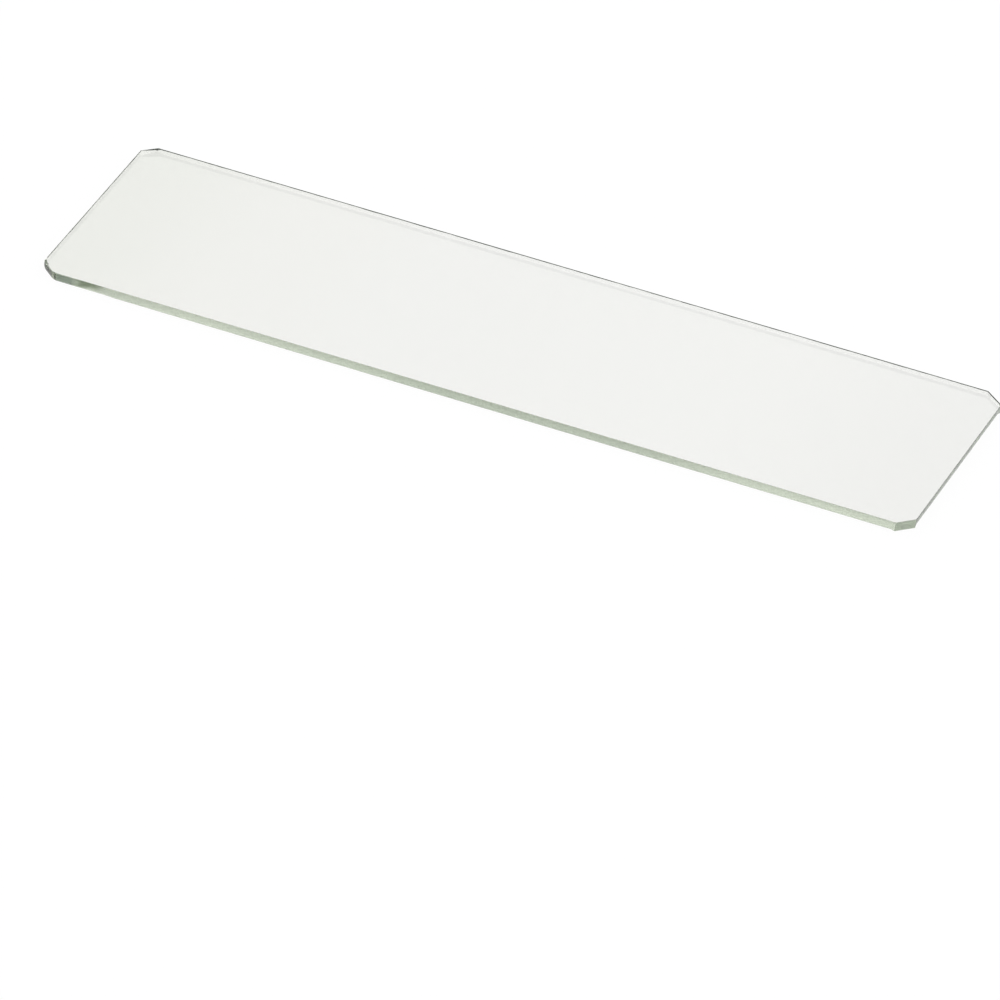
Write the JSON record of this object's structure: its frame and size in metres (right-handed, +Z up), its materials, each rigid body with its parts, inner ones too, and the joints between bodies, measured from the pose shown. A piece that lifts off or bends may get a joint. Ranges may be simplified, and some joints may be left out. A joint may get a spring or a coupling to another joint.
{
  "type": "microscope slide",
  "caption": "Plain rectangular glass microscope slide with clipped corners and ground edges, clear from end to end.",
  "frame": {"origin": "centre of the underside, which is the face that the slide rests on", "axes": "+X along the long edges, +Y across the slide from its front long edge to its back one, +Z up through its thickness"},
  "size_m": [0.076, 0.026, 0.0008],
  "materials": {
    "soda_lime_glass": "polished faces, finely ground edges, faint green tint seen through the edges"
  },
  "bodies": {
    "root": {"glass_slide": "soda_lime_glass"}
  },
  "joints": []
}
